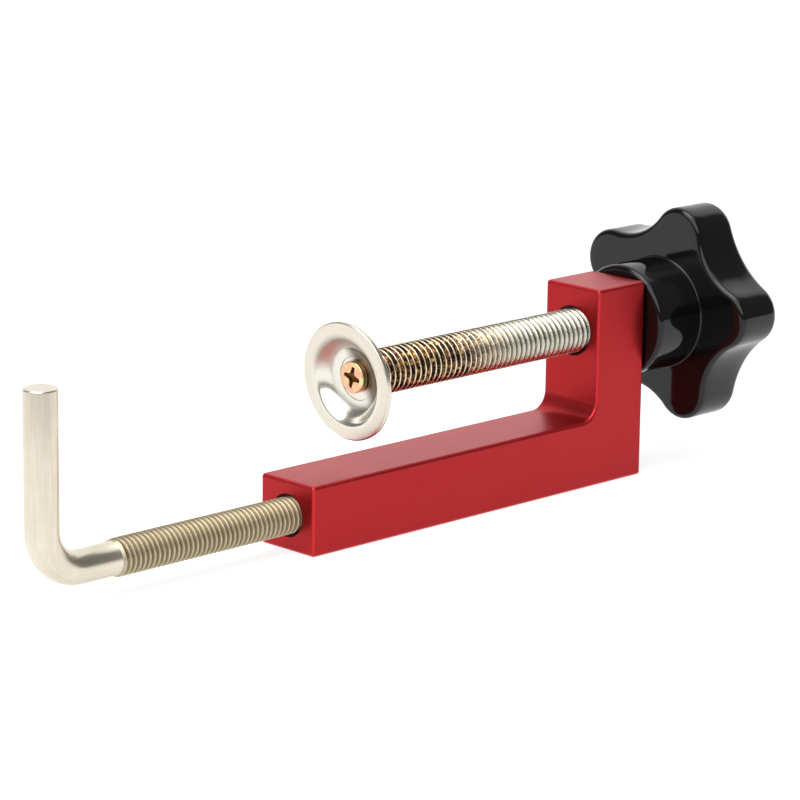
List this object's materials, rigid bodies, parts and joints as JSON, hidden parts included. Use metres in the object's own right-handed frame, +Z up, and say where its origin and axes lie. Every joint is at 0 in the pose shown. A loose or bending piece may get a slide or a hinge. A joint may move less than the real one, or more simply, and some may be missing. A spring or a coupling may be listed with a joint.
{
  "type": "g-clamp",
  "caption": "Bar clamp with a threaded hook rod, a clamp screw with a dished swivel pad, and a star knob.",
  "frame": {"origin": "centre of the flat underside of the bar's leg", "axes": "+X along the leg from the hook to the knob, +Y across the bar, +Z up along the upright and the hook's arm"},
  "size_m": [0.1953, 0.047, 0.0581],
  "materials": {
    "anodised_bar": "satin anodised",
    "plated_rod": "warm satin nickel plate",
    "zinc_screw": "zinc plate, tinted brown and gold towards the pad",
    "bright_pad": "bright nickel plate",
    "yellow_zinc": "yellow passivated zinc",
    "black_knob": "gloss moulded",
    "bush_metal": "turned"
  },
  "bodies": {
    "frame": {"clamp_body": "anodised_bar"},
    "pad": {"pressure_pad": "bright_pad"},
    "screw": {"clamp_screw": "zinc_screw", "star_knob": "black_knob", "knob_bush": "bush_metal", "pad_screw": "yellow_zinc"},
    "hook": {"hook_rod": "plated_rod"}
  },
  "joints": [
    {"name": "screw_turn", "type": "hinge", "parent": "pad", "child": "screw", "pos_m": [0, 0, 0.0338], "axis": [-1, 0, 0], "range_deg": [-14763, 75]},
    {"name": "pad_travel", "type": "slide", "parent": "frame", "child": "pad", "axis": [-1, 0, 0], "range_m": [-0.0615, 0.0003]},
    {"name": "hook_reach", "type": "slide", "parent": "frame", "child": "hook", "axis": [-1, 0, 0], "range_m": [-0.046, 0.018]}
  ],
  "couplings": [
    {"joint": "screw_turn", "follows": "pad_travel", "rad_per_m": 4188.8}
  ]
}
